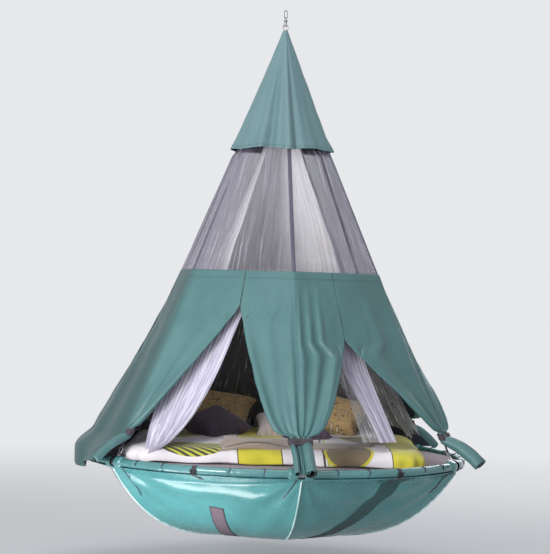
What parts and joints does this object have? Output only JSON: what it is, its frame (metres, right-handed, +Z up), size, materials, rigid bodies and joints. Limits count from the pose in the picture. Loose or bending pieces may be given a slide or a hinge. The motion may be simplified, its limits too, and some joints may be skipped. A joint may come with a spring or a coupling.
{
  "type": "hanging tent",
  "caption": "Round hanging bed tent: a ring with a hull, deck and mattress, slung on straps under canvas with a clear band, net and tied-back doors.",
  "frame": {"origin": "hanging point: the inside top of the webbing sling, where a hook or strop carries the tent", "axes": "+Z up; -Y points at the viewer of the picture, about 8 degrees left of the front corner; +X to the viewer's right"},
  "size_m": [2.7041, 2.8623, 3.4966],
  "materials": {
    "canvas": "matt teal tent canvas, polyurethane backed",
    "hat_canvas": "matt grey-teal tent canvas",
    "hull": "glossy PVC-coated cloth",
    "webbing": "woven polyester webbing",
    "sling": "dark woven webbing",
    "tie": "dark hook-and-loop strap",
    "hardware": "polished stainless steel",
    "ring_fitting": "grey powder-coated steel",
    "ring_sleeve": "tube in a teal coated-cloth sleeve",
    "film": "clear flexible vinyl film",
    "net": "fine white mosquito net",
    "deck": "mauve deck cloth",
    "mattress": "white quilted mattress cover",
    "duvet": "printed cotton duvet",
    "tan_cushion": "tan cotton with small rings",
    "dark_cushion": "dark mauve cotton",
    "beige_cushion": "light beige cotton"
  },
  "bodies": {
    "sling": {"hang_sling": "sling"},
    "shackle": {"top_shackle_bow": "hardware", "top_shackle_pin": "hardware"},
    "swivel_top": {"swivel_upper": "hardware"},
    "swivel_foot": {"swivel_lower": "hardware"},
    "tent": {"strap_crown": "webbing", "hat": "hat_canvas", "window_band": "film", "net": "net", "deck": "deck", "mattress": "mattress", "duvet": "duvet", "hull_patch": "hull", "cushion_tan_left": "tan_cushion", "cushion_mauve": "dark_cushion", "cushion_beige": "beige_cushion", "cushion_tan_right": "tan_cushion", "cushion_small": "dark_cushion", "suspension_strap_0": "webbing", "corner_link_0": "hardware", "ring_joint_0": "ring_fitting", "ring_tube_0": "ring_sleeve", "hull_gore_0": "hull", "canvas_panel_0": "canvas", "suspension_strap_1": "webbing", "corner_link_1": "hardware", "ring_joint_1": "ring_fitting", "ring_tube_1": "ring_sleeve", "hull_gore_1": "hull", "canvas_panel_1": "canvas", "suspension_strap_2": "webbing", "corner_link_2": "hardware", "ring_joint_2": "ring_fitting", "ring_tube_2": "ring_sleeve", "hull_gore_2": "hull", "canvas_panel_2": "canvas", "suspension_strap_3": "webbing", "corner_link_3": "hardware", "ring_joint_3": "ring_fitting", "ring_tube_3": "ring_sleeve", "hull_gore_3": "hull", "canvas_panel_3": "canvas", "suspension_strap_4": "webbing", "corner_link_4": "hardware", "ring_joint_4": "ring_fitting", "ring_tube_4": "ring_sleeve", "hull_gore_4": "hull", "canvas_panel_4": "canvas", "suspension_strap_5": "webbing", "corner_link_5": "hardware", "ring_joint_5": "ring_fitting", "ring_tube_5": "ring_sleeve", "hull_gore_5": "hull", "canvas_panel_5": "canvas"},
    "tie_0": {"curtain_tie_0": "tie"},
    "tie_1": {"curtain_tie_1": "tie"},
    "tie_2": {"curtain_tie_2": "tie"},
    "tie_5": {"curtain_tie_5": "tie"}
  },
  "joints": [
    {"name": "shackle_swing", "type": "hinge", "parent": "sling", "child": "shackle", "pos_m": [0, 0, -0.04161], "axis": [0, 1, 0], "range_deg": [-25, 25]},
    {"name": "swivel_swing", "type": "hinge", "parent": "shackle", "child": "swivel_top", "pos_m": [0, 0, -0.07161], "axis": [0, 1, 0], "range_deg": [-25, 25]},
    {"name": "swivel_spin", "type": "hinge", "parent": "swivel_top", "child": "swivel_foot", "pos_m": [0, 0, -0.09431], "axis": [0, 0, 1], "continuous": true},
    {"name": "tent_sway", "type": "hinge", "parent": "swivel_foot", "child": "tent", "pos_m": [0, 0, -0.13631], "axis": [1, 0, 0], "range_deg": [-20, 20]},
    {"name": "tie_0_open", "type": "hinge", "parent": "tent", "child": "tie_0", "pos_m": [0.08224, -1.16813, -2.79], "axis": [0.056, -0.4091, -0.9108], "range_deg": [0, 100]},
    {"name": "tie_1_open", "type": "hinge", "parent": "tent", "child": "tie_1", "pos_m": [1.05275, -0.51284, -2.79], "axis": [0.3823, -0.156, -0.9108], "range_deg": [0, 100]},
    {"name": "tie_2_open", "type": "hinge", "parent": "tent", "child": "tie_2", "pos_m": [0.93353, 0.72412, -2.79], "axis": [-0.3263, -0.2531, 0.9108], "range_deg": [0, 100]},
    {"name": "tie_5_open", "type": "hinge", "parent": "tent", "child": "tie_5", "pos_m": [-0.93353, -0.72412, -2.79], "axis": [-0.3263, -0.2531, -0.9108], "range_deg": [0, 100]}
  ]
}
